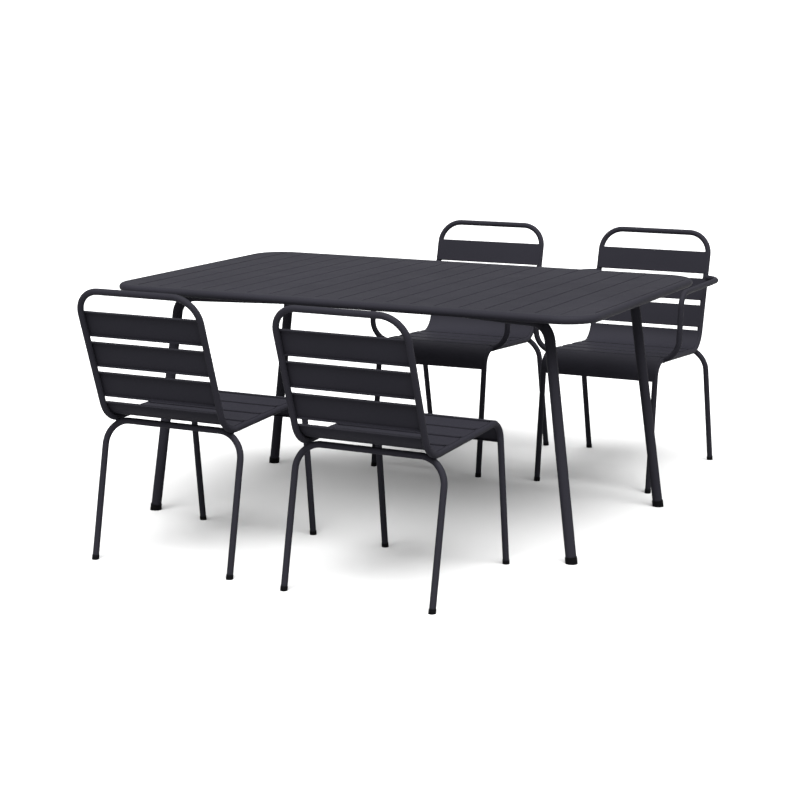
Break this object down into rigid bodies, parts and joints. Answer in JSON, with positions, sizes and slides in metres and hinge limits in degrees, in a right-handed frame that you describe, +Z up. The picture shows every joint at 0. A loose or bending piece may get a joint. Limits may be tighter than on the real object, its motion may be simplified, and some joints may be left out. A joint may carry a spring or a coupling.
{
  "type": "patio dining set",
  "caption": "Slatted metal patio table on four splayed tube legs, with side chairs and armchairs of bent tube with slatted seats and backs that slide under the top",
  "frame": {"origin": "On the floor under the middle of the whole set's box", "axes": "+X along the table to the right as seen from the side chairs, +Y across the table towards the armchairs, +Z up"},
  "size_m": [1.6, 2.2481, 0.816],
  "materials": {
    "powder_coat_table": "satin",
    "powder_coat_chair": "satin",
    "black_plastic": "matte",
    "zinc_steel": "satin"
  },
  "bodies": {
    "table": {"table_rim": "powder_coat_table", "table_slats": "powder_coat_table", "table_end_slats": "powder_coat_table", "table_bearers": "powder_coat_table", "table_leg_brackets": "powder_coat_table", "table_leg_near_left": "powder_coat_table", "table_leg_near_right": "powder_coat_table", "table_leg_far_left": "powder_coat_table", "table_leg_far_right": "powder_coat_table", "table_leg_bolts": "zinc_steel", "table_leg_plugs": "black_plastic", "table_feet": "black_plastic"},
    "side_chair_left": {"side_chair_left_frame": "powder_coat_chair", "side_chair_left_rear_legs": "powder_coat_chair", "side_chair_left_back_slat_top": "powder_coat_chair", "side_chair_left_back_slat_middle": "powder_coat_chair", "side_chair_left_back_slat_bottom": "powder_coat_chair", "side_chair_left_curved_slat": "powder_coat_chair", "side_chair_left_seat_slat_rear": "powder_coat_chair", "side_chair_left_seat_slat_middle": "powder_coat_chair", "side_chair_left_seat_slat_front": "powder_coat_chair", "side_chair_left_front_slat": "powder_coat_chair", "side_chair_left_feet": "black_plastic"},
    "side_chair_right": {"side_chair_right_frame": "powder_coat_chair", "side_chair_right_rear_legs": "powder_coat_chair", "side_chair_right_back_slat_top": "powder_coat_chair", "side_chair_right_back_slat_middle": "powder_coat_chair", "side_chair_right_back_slat_bottom": "powder_coat_chair", "side_chair_right_curved_slat": "powder_coat_chair", "side_chair_right_seat_slat_rear": "powder_coat_chair", "side_chair_right_seat_slat_middle": "powder_coat_chair", "side_chair_right_seat_slat_front": "powder_coat_chair", "side_chair_right_front_slat": "powder_coat_chair", "side_chair_right_feet": "black_plastic"},
    "armchair_left": {"armchair_left_frame": "powder_coat_chair", "armchair_left_rear_legs": "powder_coat_chair", "armchair_left_back_slat_top": "powder_coat_chair", "armchair_left_back_slat_middle": "powder_coat_chair", "armchair_left_back_slat_bottom": "powder_coat_chair", "armchair_left_curved_slat": "powder_coat_chair", "armchair_left_seat_slat_rear": "powder_coat_chair", "armchair_left_seat_slat_middle": "powder_coat_chair", "armchair_left_seat_slat_front": "powder_coat_chair", "armchair_left_front_slat": "powder_coat_chair", "armchair_left_arm_left": "powder_coat_chair", "armchair_left_arm_right": "powder_coat_chair", "armchair_left_feet": "black_plastic"},
    "armchair_right": {"armchair_right_frame": "powder_coat_chair", "armchair_right_rear_legs": "powder_coat_chair", "armchair_right_back_slat_top": "powder_coat_chair", "armchair_right_back_slat_middle": "powder_coat_chair", "armchair_right_back_slat_bottom": "powder_coat_chair", "armchair_right_curved_slat": "powder_coat_chair", "armchair_right_seat_slat_rear": "powder_coat_chair", "armchair_right_seat_slat_middle": "powder_coat_chair", "armchair_right_seat_slat_front": "powder_coat_chair", "armchair_right_front_slat": "powder_coat_chair", "armchair_right_arm_left": "powder_coat_chair", "armchair_right_arm_right": "powder_coat_chair", "armchair_right_feet": "black_plastic"}
  },
  "joints": [
    {"name": "side_chair_left_tuck", "type": "slide", "parent": "table", "child": "side_chair_left", "axis": [0, 1, 0], "range_m": [-0.3, 0.36]},
    {"name": "side_chair_right_tuck", "type": "slide", "parent": "table", "child": "side_chair_right", "axis": [0, 1, 0], "range_m": [-0.3, 0.36]},
    {"name": "armchair_left_tuck", "type": "slide", "parent": "table", "child": "armchair_left", "axis": [0, -1, 0], "range_m": [-0.3, 0.38]},
    {"name": "armchair_right_tuck", "type": "slide", "parent": "table", "child": "armchair_right", "axis": [0, -1, 0], "range_m": [-0.3, 0.23]}
  ]
}
